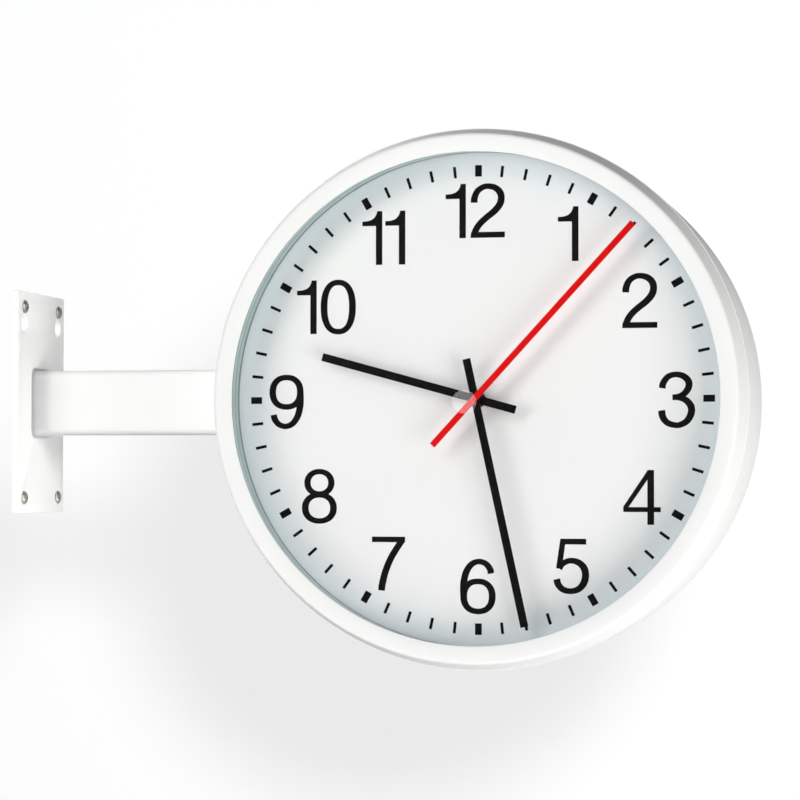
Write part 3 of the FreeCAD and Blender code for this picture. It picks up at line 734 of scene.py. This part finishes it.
def set_screw_hole(side, way, radius, depth, middle):
    """A cutter along the drum's radius, at twelve (way 1) or six o'clock (way -1)."""
    bm = bmesh.new()
    bmesh.ops.create_cone(bm, cap_ends=True, segments=32, radius1=mm(radius), radius2=mm(radius),
                          depth=mm(depth))
    for vert in bm.verts:
        vert.co = vert.co + on_face(side, 0, way * middle, SET_SCREW_W)
    return finish_mesh("hole", bm)


def drum_shell():
    inner_r, edge_r, inner_edge_r = 198.5, 0.45, 0.2
    outline = rounded([(inner_r, -DRUM_HALF, inner_edge_r), (200, -DRUM_HALF, edge_r),
                       (200, DRUM_HALF, edge_r), (inner_r, DRUM_HALF, inner_edge_r)], 4)
    shell = lathe("drum_shell", outline, "front")
    holes = [set_screw_hole(side, way, 2.1, 20, 199) for side in SIDES for way in (1, -1)]
    return cut_by(shell, holes)


def below_skin(side, way, deep):
    """Places a plate across the drum's radius, with its middle that far below the set screws' tops."""
    seat = on_face(side, 0, 0, SET_SCREW_W)
    top = 199.8 * way

    def place(x, y, z):
        return Vector((seat.x + x, seat.y + y, mm(top) - way * (mm(deep) - z)))

    return place


def set_screws():
    """Cup point set screws with a hexagon socket, a hair below the drum's skin."""
    socket_t, shank_t, bevel = 1.8, 4.2, 0.15
    pieces = []
    hexagon = [(1.15 * cos(pi / 3 * k), 1.15 * sin(pi / 3 * k)) for k in range(6)]
    circle = arc_points((0, 0), 1.96, 0, 348.75, 31)
    for side in SIDES:
        for way in (1, -1):
            socket_place = below_skin(side, way, socket_t / 2)
            shank_place = below_skin(side, way, socket_t + shank_t / 2)
            pieces.append(plate_from("socket", circle, [hexagon], socket_t, bevel, socket_place))
            pieces.append(plate_from("shank", circle, [], shank_t, bevel, shank_place))
    return joined("bezel_set_screws", pieces)


def bezel_ring(side):
    """The tapered ring: its side leans in, turns over a round corner and dips to the opening's edge."""
    face, crown, corner_r = 80.0, 191.7, 3.0
    rim, outer, seat = 194.7, 199.5, 58.0
    opening, lip = 181.0, 77.0
    skirt_in, skirt_out, skirt_end = 196.9, 198.4, 48.0
    lean = degrees(atan2(outer - rim, face - corner_r - seat))
    outline = [(outer, seat), (outer - 0.08, seat + 0.35)]
    outline += arc_points((crown, face - corner_r), corner_r, lean, 90, 14)
    outline += through((crown, face), (186.35, 79.5), (opening + 0.35, 78.12), 14)[1:]
    outline += [(opening + 0.12, 78.0), (opening, 77.8), (opening, 77.2), (opening + 0.12, 77.04),
                (opening + 0.3, lip), (rim - corner_r, lip), (skirt_in, seat)]
    outline += [(skirt_in, 48.2), (197.1, skirt_end), (198.2, skirt_end), (skirt_out, 48.2),
                (skirt_out, seat)]
    ring = lathe(side + "_bezel_ring", outline, side)
    return cut_by(ring, [set_screw_hole(side, way, 2.0, 3.4, 197.6) for way in (1, -1)])


GLASS_FRONT, GLASS_BACK, GLASS_R = 75.5, 72.5, 190.5
SPACER_R, CARRIED_R = 183.5, 198.2


def seal(side):
    """The glass seal: a soft lip with a rolled inner edge."""
    inner, outer, back, front = 183.0, 190.0, GLASS_FRONT, 77.0
    outline = rounded([(inner, back, 0.4), (outer, back, 0.2), (outer, front, 0.2), (inner, front, 0.5)], 4)
    return lathe(side + "_glass_seal", outline, side)


def pane(side):
    """A disc of glass with a narrow ground chamfer on both edges."""
    flat = [0, 60, 120, 190.1]
    edge = [(190.38, 75.38), (GLASS_R, 75.1), (GLASS_R, 72.9), (190.38, 72.62)]
    outline = [(r, GLASS_FRONT) for r in flat] + edge + [(r, GLASS_BACK) for r in flat[::-1]]
    return lathe(side + "_glass_pane", outline, side, closed=False, sharp=8.0)


def bore_wall(side):
    """A rolled strip between dial and glass, with a flange on the dial and a wider one under the glass."""
    wall_r, foot, head = 185.0, 47.0, 71.0
    outline = rounded([(SPACER_R, DIAL_W, 0.15), (CARRIED_R, DIAL_W, 0.1), (CARRIED_R, foot, 0.3),
                       (wall_r, foot, 0.6), (wall_r, head, 0.6), (GLASS_R, head, 0.3),
                       (GLASS_R, GLASS_BACK, 0.1), (SPACER_R, GLASS_BACK, 0.3)], 3)
    return lathe(side + "_bore_wall", outline, side)


def dial_plate(side):
    hole_r, back = 4.2, 44.0
    outline = rounded([(hole_r, back, 0.1), (CARRIED_R, back, 0.2), (CARRIED_R, DIAL_W, 0.2),
                       (hole_r, DIAL_W, 0.1)], 2)
    return lathe(side + "_dial_plate", outline, side)


dress(drum_shell(), "root", "white_coat", "case_drum")
dress(set_screws(), "root", "zinc_steel", "bezel_screws")
for side in SIDES:
    dress(bezel_ring(side), "root", "white_coat", side + "_bezel")
    dress(seal(side), "root", "seal_rubber", side + "_gasket")
    dress(pane(side), "root", "float_glass", side + "_glass")
    dress(bore_wall(side), "root", "bare_aluminium", side + "_spacer_ring")
    dress(dial_plate(side), "root", "dial_face", side + "_dial")


# ---- Hour numbers and minute marks, drawn as strokes of changing width ----
GLYPH_H = 40.2


def smooth_path(points, steps=7):
    """A curve through (x, y, half width) points."""
    ends = [tuple(2 * a - b for a, b in zip(points[0], points[1]))] + list(points)
    ends.append(tuple(2 * a - b for a, b in zip(points[-1], points[-2])))
    path = []
    for p0, p1, p2, p3 in zip(ends, ends[1:], ends[2:], ends[3:]):
        for k in range(steps):
            t = k / steps
            path.append(tuple(0.5 * (2 * b + (c - a) * t + (2 * a - 5 * b + 4 * c - d) * t ** 2
                                     + (3 * b - a - 3 * c + d) * t ** 3)
                              for a, b, c, d in zip(p0, p1, p2, p3)))
    path.append(tuple(points[-1]))
    return path


def bowl(cx, cy, a, b, side_w, flat_w, power=2.25, steps=72):
    """A closed loop of a number, as (x, y, half width) points."""
    points = []
    for k in range(steps):
        angle = 2 * pi * k / steps
        c, s = cos(angle), sin(angle)
        x = cx + a * (1 if c >= 0 else -1) * abs(c) ** (2 / power)
        y = cy + b * (1 if s >= 0 else -1) * abs(s) ** (2 / power)
        points.append((x, y, side_w + (flat_w - side_w) * s * s))
    return points


SIX_SPINE = [(23.3, 29.8, 2.45), (22.6, 33.0, 2.4), (19.4, 37.0, 2.2), (14.0, 38.6, 2.05),
             (8.6, 36.4, 2.3), (4.8, 30.9, 2.5), (2.95, 23.6, 2.6), (2.65, 17.0, 2.6), (2.85, 12.0, 2.5)]
SIX_BOWL = bowl(13.5, 12.8, 10.7, 11.1, 2.55, 2.1)


def turned_over(points, width):
    return [(width - x, GLYPH_H - y, w) for x, y, w in points]


# Each number: its width, open strokes, closed strokes and filled outlines, in millimetres from its
# lower left. A stroke's third value is half its width there.
GLYPHS = {
    "0": (27.1, [], [bowl(13.55, 20.1, 10.95, 18.5, 2.6, 2.1, 2.35)], []),
    "1": (15.3, [], [],
          [[(10.4, 0), (15.3, 0), (15.3, 40.4), (11.4, 40.4), (10.9, 38.2), (9.7, 35.9), (7.4, 34.0),
            (4.2, 33.0), (0, 32.7), (0, 29.3), (10.4, 29.3)]]),
    "2": (25.8,
          [[(2.75, 26.2, 2.55), (2.95, 29.6, 2.5), (5.1, 34.6, 2.3), (9.3, 37.6, 2.15), (13.4, 38.3, 2.1),
            (18.5, 37.0, 2.35), (22.1, 33.6, 2.55), (23.1, 29.0, 2.6), (21.7, 24.2, 2.6),
            (17.6, 19.4, 2.5), (12.0, 15.0, 2.4), (7.0, 10.4, 2.4), (3.9, 5.6, 2.45), (2.6, 0.6, 2.55)]],
          [],
          [[(0, 0), (25.8, 0), (25.8, 4.3), (0.4, 4.3)]]),
    "3": (26.7,
          [[(3.1, 28.6, 2.5), (3.9, 32.4, 2.4), (7.4, 37.0, 2.2), (12.9, 38.6, 2.05), (18.4, 37.4, 2.3),
            (22.2, 33.6, 2.55), (22.2, 29.0, 2.5), (19.2, 24.6, 2.3), (15.2, 22.5, 2.1), (10.6, 21.9, 2.0)],
           [(10.6, 21.9, 2.0), (15.6, 21.6, 2.1), (20.6, 19.6, 2.4), (24.0, 15.2, 2.6), (24.1, 10.2, 2.6),
            (21.2, 4.8, 2.4), (16.4, 2.0, 2.2), (12.6, 1.6, 2.1), (7.0, 3.3, 2.3), (3.6, 7.4, 2.5),
            (2.6, 12.4, 2.6)]],
          [], []),
    "4": (27.4, [], [],
          [[(17.6, 0), (22.5, 0), (22.5, 40.0), (17.6, 40.0)],
           [(0, 9.3), (27.4, 9.3), (27.4, 12.9), (0, 12.9)],
           [(0, 12.0), (3.3, 12.0), (3.9, 12.9), (19.8, 36.0), (19.8, 40.0), (18.0, 40.0), (0, 13.2)]]),
    "5": (26.7,
          [[(4.5, 18.2, 2.25), (7.3, 21.9, 2.15), (12.6, 24.0, 2.1), (18.4, 22.9, 2.35), (22.7, 19.0, 2.6),
            (24.0, 13.2, 2.65), (22.5, 7.3, 2.6), (18.6, 3.1, 2.35), (12.8, 1.6, 2.1), (7.2, 2.9, 2.3),
            (3.8, 6.5, 2.5), (2.65, 10.4, 2.6)]],
          [],
          [[(5.4, 35.9), (24.5, 35.9), (24.5, 40.1), (5.4, 40.1)],
           [(2.2, 18.2), (6.7, 18.2), (7.0, 21.6), (9.3, 38.0), (9.3, 40.1), (5.4, 40.1)]]),
    "6": (26.5, [SIX_SPINE], [SIX_BOWL], []),
    "7": (25.3,
          [[(22.9, 37.4, 2.4), (19.0, 31.6, 2.45), (14.2, 23.6, 2.5), (10.3, 14.0, 2.55), (8.0, 5.0, 2.6),
            (7.35, 0.0, 2.6)]],
          [],
          [[(0, 36.0), (25.3, 36.0), (25.3, 40.1), (0, 40.1)]]),
    "8": (27.0, [],
          [bowl(13.5, 30.2, 9.2, 8.4, 2.45, 2.0, 2.1), bowl(13.5, 11.3, 10.9, 9.8, 2.6, 2.05, 2.15)], []),
    "9": (26.5, [turned_over(SIX_SPINE, 26.5)], [turned_over(SIX_BOWL, 26.5)], []),
}
# Where each number stands: the centre of each of its figures, right and up from the dial's centre.
NUMBERS = (("1", -17.15, 140.2), ("2", 6.95, 140.2), ("1", 67.0, 121.7), ("2", 119.6, 71.8),
           ("3", 146.2, -1.0), ("4", 121.1, -72.1), ("5", 69.0, -122.7), ("6", -0.6, -138.5),
           ("7", -68.0, -122.1), ("8", -121.1, -72.1), ("9", -146.5, -1.1), ("1", -131.1, 70.0),
           ("0", -106.8, 70.0), ("1", -80.7, 121.3), ("1", -63.1, 121.3))
MARK_R, MARK_LENGTH, HOUR_MARK_W, MINUTE_MARK_W = 170.0, 8.5, 5.1, 2.2
INK_T, INK_STEP = 0.06, 0.01


class Ink:
    """Gathers printed shapes on one dial. Each shape is a touch thicker than the last one it may cross."""

    def __init__(self, side):
        self.side = side
        self.bm = bmesh.new()

    def vert(self, x, y, lift):
        return self.bm.verts.new(on_face(self.side, x, y, DIAL_W + lift))

    def outline(self, points, lift):
        low = [self.vert(x, y, 0.0) for x, y in points]
        high = [self.vert(x, y, lift) for x, y in points]
        self.bm.faces.new(high)
        for k in range(len(points)):
            n = (k + 1) % len(points)
            self.bm.faces.new((low[k], low[n], high[n], high[k]))

    def stroke(self, path, lift, closed):
        edges = ([], [])
        count = len(path)
        for k, (x, y, half) in enumerate(path):
            last = path[k - 1] if closed or k else path[k]
            after = path[(k + 1) % count] if closed or k < count - 1 else path[k]
            along = Vector((after[0] - last[0], after[1] - last[1])).normalized()
            edges[0].append((x - along.y * half, y + along.x * half))
            edges[1].append((x + along.y * half, y - along.x * half))
        rows = []
        for rim in edges:
            rows.append([self.vert(x, y, 0.0) for x, y in rim])
            rows.append([self.vert(x, y, lift) for x, y in rim])
        low_a, high_a, low_b, high_b = rows
        spans = range(count) if closed else range(count - 1)
        for k in spans:
            n = (k + 1) % count
            self.bm.faces.new((high_a[k], high_a[n], high_b[n], high_b[k]))
            self.bm.faces.new((low_a[k], low_a[n], high_a[n], high_a[k]))
            self.bm.faces.new((low_b[k], low_b[n], high_b[n], high_b[k]))
        if not closed:
            for k in (0, -1):
                self.bm.faces.new((low_a[k], high_a[k], high_b[k], low_b[k]))

    def number(self, name, x, y):
        width, strokes, loops, outlines = GLYPHS[name]
        left, bottom = x - width / 2, y - GLYPH_H / 2
        lift = INK_T
        for path in strokes:
            self.stroke([(a + left, b + bottom, w) for a, b, w in smooth_path(path)], lift, False)
            lift += INK_STEP
        for path in loops:
            self.stroke([(a + left, b + bottom, w) for a, b, w in path], lift, True)
            lift += INK_STEP
        for shape in outlines:
            self.outline([(a + left, b + bottom) for a, b in shape], lift)
            lift += INK_STEP

    def mark(self, minute):
        angle = radians(6.0 * minute)
        half = (MINUTE_MARK_W if minute % 5 else HOUR_MARK_W) / 2
        along = Vector((sin(angle), cos(angle)))
        across = Vector((cos(angle), -sin(angle)))
        corners = []
        for side_way, out_way in ((-1, -1), (1, -1), (1, 1), (-1, 1)):
            radius = MARK_R + out_way * MARK_LENGTH / 2
            corners.append(tuple(along * radius + across * half * side_way))
        self.outline(corners, INK_T)


for side in SIDES:
    ink = Ink(side)
    for name, x, y in NUMBERS:
        ink.number(name, x, y)
    for minute in range(60):
        ink.mark(minute)
    dress(finish_mesh(side + "_dial_print", ink.bm, 20), "root", "dial_face", material=INK)


# ---- Hands ----
# Each hand: its body, slot, width, reach, tail, the height of its back over the clock's middle, its hub's
# radius and depth, its bore, and the clock angle at which it rests.
HANDS = {
    "hour_hand": ("hours", "black_hand", 6.0, 120.5, 30.8, 56.5, 5.2, 3.0, 2.57, 285.4),
    "minute_hand": ("minutes", "black_hand", 5.8, 171.2, 30.2, 59.5, 3.6, 1.4, 1.77, 167.6),
    "second_hand": ("seconds", "red_hand", 4.6, 173.0, 46.5, 62.5, 2.4, 1.4, 0.77, 42.5),
}
HAND_T = 1.2
HAND_CORNER_R, HAND_BEVEL = 0.06, 0.1


def hand(side, name):
    """A flat stamped bar with softened edges, pierced for its arbor and carried on a turned hub."""
    body, slot, width, reach, tail, level, hub_r, drop, bore, rest = HANDS[name]
    turn = radians(-rest)

    def place(x, y, z):
        w = level + HAND_T / 2 + z * 1000
        u, v = x * 1000, y * 1000
        return on_face(side, u * cos(turn) - v * sin(turn), u * sin(turn) + v * cos(turn), w)

    half = width / 2
    corners = ((-half, -tail), (half, -tail), (half, reach), (-half, reach))
    outer = rounded([(x, y, HAND_CORNER_R) for x, y in corners], 2)
    hole = arc_points((0, 0), bore, 0, 352.5, 47)
    bar = plate_from("bar", outer, [hole], HAND_T, HAND_BEVEL, place)
    hub_back = level - drop
    outline = rounded([(bore, hub_back, 0.05), (hub_r, hub_back, 0.25), (hub_r, level, 0),
                       (bore, level, 0)], 3)
    hub = lathe("hub", outline, side, segments=64)
    whole = joined(side + "_" + name + "_bar", [bar, hub])
    return dress(whole, side + "_" + body, slot, side + "_" + name)


for side in SIDES:
    for name in HANDS:
        hand(side, name)


# ---- Studio: a white sweep, soft lamps and the camera ----
def sweep():
    """A floor that bends up into a wall behind the clock."""
    wall_y, floor_z, bend = 3.4, -1.3, 0.45
    line = [(-6.0, floor_z)]
    for a in range(0, 91, 5):
        line.append((wall_y - bend + bend * sin(radians(a)), floor_z + bend - bend * cos(radians(a))))
    line += [(wall_y, 4.0)]
    bm = bmesh.new()
    rows = [[bm.verts.new((x, y, z)) for y, z in line] for x in (-5.0, 6.0)]
    for k in range(len(line) - 1):
        bm.faces.new((rows[0][k], rows[1][k], rows[1][k + 1], rows[0][k + 1]))
    return finish_mesh("studio_sweep", bm, 60)


def studio_paper():
    """White paper. It glows where it is looked at straight or through glass, and less in a mirror."""
    glow, mirrored_share = 0.71, 0.45
    paper = Surface("studio_paper", (0.40, 0.40, 0.40), 0.9, 0.0, 0.1)
    grain = paper.between(paper.noise(2, 2), 0, 1)
    paper.tint(paper.mixed(grain, (0.40, 0.40, 0.40), (0.397, 0.397, 0.397)))
    paper.shader.inputs["Emission Color"].default_value = (1, 1, 1, 1)
    path = paper.node("ShaderNodeLightPath")
    mirrored = paper.maths(path.outputs["Is Glossy Ray"], mirrored_share, "MULTIPLY")
    seen = paper.maths(path.outputs["Is Camera Ray"], mirrored, "MAXIMUM")
    seen = paper.maths(seen, path.outputs["Is Transmission Ray"], "MAXIMUM")
    paper.link(paper.maths(seen, glow, "MULTIPLY"), paper.shader.inputs["Emission Strength"])
    return paper.material


backdrop = sweep()
backdrop.data.materials.append(studio_paper())


def studio_world():
    """Soft light, fuller from the front and thinner from above on the right. It is dim right behind the
    viewer, so that the glass shows little of it, and looked at straight it is a plain pale tone."""
    base, from_front, from_above, least, plain_tone = 0.32, 0.44, 0.40, 0.03, 0.80
    world = bpy.data.worlds.new("studio")
    world.use_nodes = True
    tree = world.node_tree
    ground = tree.nodes["Background"]
    ground.inputs["Color"].default_value = (0.93, 0.97, 1.0, 1)
    coords = tree.nodes.new("ShaderNodeTexCoord")

    def toward(direction):
        made = tree.nodes.new("ShaderNodeVectorMath")
        made.operation = "DOT_PRODUCT"
        made.inputs[1].default_value = Vector(direction).normalized()
        tree.links.new(coords.outputs["Generated"], made.inputs[0])
        return made.outputs["Value"]

    def maths(operation, a, b):
        made = tree.nodes.new("ShaderNodeMath")
        made.operation = operation
        for value, socket in zip((a, b), made.inputs):
            if hasattr(value, "is_linked"):
                tree.links.new(value, socket)
            else:
                socket.default_value = value
        return made.outputs["Value"]

    front = maths("MULTIPLY", maths("MAXIMUM", toward((0, -1, 0)), 0.0), from_front)
    shade = maths("MULTIPLY", toward((0.6, 0, 1)), from_above)
    level = maths("MAXIMUM", maths("SUBTRACT", maths("ADD", front, base), shade), least)
    patch = tree.nodes.new("ShaderNodeMapRange")
    patch.interpolation_type = "SMOOTHSTEP"
    for key, value in (("From Min", 0.86), ("From Max", 0.95), ("To Min", 1.0), ("To Max", 0.06)):
        patch.inputs[key].default_value = value
    tree.links.new(toward((-0.20, -0.98, 0.03)), patch.inputs["Value"])
    level = maths("MULTIPLY", level, patch.outputs["Result"])
    path = tree.nodes.new("ShaderNodeLightPath")
    seen = path.outputs["Is Camera Ray"]
    plain = maths("MULTIPLY", seen, plain_tone)
    rest = maths("MULTIPLY", maths("SUBTRACT", 1.0, seen), level)
    tree.links.new(maths("ADD", plain, rest), ground.inputs["Strength"])
    return world


bpy.context.scene.world = studio_world()


def group_of(name, members):
    group = bpy.data.collections.new(name)
    for member in members:
        group.objects.link(member)
    return group


CLOCK_PIECES = [o for o in bpy.context.scene.objects if o.type == "MESH" and o != backdrop]
PLATE_NAMES = ("wall_plate_skin", "wall_screw_set")
ARM_NAMES = ("arm_tube_skin", "arm_weld_bead")
LIT_CLOCK = group_of("lit_clock", CLOCK_PIECES)
LIT_PLATE = group_of("lit_plate", [o for o in CLOCK_PIECES if o.name in PLATE_NAMES])
LIT_ARM = group_of("lit_arm", [o for o in CLOCK_PIECES if o.name in ARM_NAMES])
LIT_CASE = group_of("lit_case", [o for o in CLOCK_PIECES if o.name not in ARM_NAMES])
LIT_DIAL = group_of("lit_dial", [o for o in CLOCK_PIECES if o.name.endswith("_dial_plate")])
LIT_PAPER = group_of("lit_paper", [backdrop])

CENTRE = (mm(AXIS_X), 0.0, 0.0)
ARM_MIDDLE = (mm(85), 0.0, 0.0)
WARM, COOL, PLAIN = (1.0, 0.985, 0.95), (0.92, 0.97, 1.0), (1.0, 1.0, 1.0)


def lamp(name, place, target, size, power, lights, colour=PLAIN, along=(0, 0, 1)):
    """A soft box (wide, long) with its long side nearest to the direction given; one number makes a disc."""
    light = bpy.data.lights.new(name, "AREA")
    light.energy = power
    light.color = colour
    if isinstance(size, tuple):
        light.shape = "RECTANGLE"
        light.size, light.size_y = size
    else:
        light.shape = "DISK"
        light.size = size
    holder = bpy.data.objects.new(name, light)
    bpy.context.scene.collection.objects.link(holder)
    back = (Vector(place) - Vector(target)).normalized()
    up = (Vector(along) - back * back.dot(Vector(along))).normalized()
    turn = Matrix((up.cross(back), up, back)).transposed()
    holder.matrix_world = Matrix.Translation(place) @ turn.to_4x4()
    holder.light_linking.receiver_collection = lights
    holder.visible_camera = False


def from_centre(direction, distance):
    return tuple(Vector(CENTRE) + Vector(direction).normalized() * distance)


KEY_AT = from_centre((-0.66, -1.0, 0.26), 2.5)
FILL_AT = from_centre((1.0, -1.0, -0.6), 2.4)
SIDE_AT = from_centre((0.85, 0.0, -0.52), 2.0)
REAR_AT = from_centre((-0.5, 0.84, 0.2), 2.4)
# The small disc's mirror image in the glass is the glint over the hands' centre.
GLINT_AT, GLINT_TARGET = (-0.0072, -2.0455, 0.0568), (0.3591, -0.0755, -0.0024)

lamp("key_left", KEY_AT, CENTRE, (1.0, 3.0), 33.3, LIT_CLOCK, WARM, (0.68, 0, 0.74))
lamp("fill_right", FILL_AT, CENTRE, (1.5, 1.5), 34.2, LIT_CASE, WARM)
lamp("side_low", SIDE_AT, CENTRE, (0.9, 0.9), 17.0, LIT_CLOCK, WARM)
lamp("rear_left", REAR_AT, CENTRE, (1.1, 1.1), 28.0, LIT_CLOCK, WARM)
lamp("dial_front", (0.70, -2.1, 0.0), CENTRE, (0.3, 0.3), 2.0, LIT_DIAL, COOL)
lamp("arm_key", (-0.45, -1.3, 0.75), ARM_MIDDLE, (0.25, 0.25), 5.7, LIT_ARM, WARM)
lamp("arm_fill", (0.05, -1.1, -0.95), ARM_MIDDLE, (0.4, 0.4), 1.1, LIT_ARM, WARM)
lamp("plate_kick", (0.95, -0.95, 0.42), (0, 0, 0), (0.5, 0.5), 7.8, LIT_PLATE, WARM)
lamp("catch_light", GLINT_AT, GLINT_TARGET, 0.035, 0.0133, LIT_CLOCK)
lamp("paper_wash", (0.867, -2.17, 0.124), (-0.43, 3.4, -0.19), (0.13, 0.13), 153.0, LIT_PAPER)

scene = bpy.context.scene
scene.view_settings.view_transform = "Standard"


def camera():
    """The photo's viewpoint, as fitted to the minute marks: place, direction, roll, lens and shift."""
    place = Vector((0.72441, -2.06993, -0.06235))
    ahead = Vector((-0.239151, 0.970518, 0.030034)).normalized()
    level = ahead.cross(Vector((0, 0, 1))).normalized()
    above = level.cross(ahead)
    roll = radians(0.1223)
    right = level * cos(roll) + above * sin(roll)
    up = above * cos(roll) - level * sin(roll)
    lens = bpy.data.cameras.new("photo_camera")
    lens.sensor_width = 36.0
    lens.sensor_fit = "HORIZONTAL"
    lens.lens = 124.576
    lens.shift_x = 0.125
    holder = bpy.data.objects.new("photo_camera", lens)
    bpy.context.scene.collection.objects.link(holder)
    turn = Matrix((right, up, -ahead)).transposed()
    holder.matrix_world = Matrix.Translation(place) @ turn.to_4x4()
    return holder


scene.camera = camera()
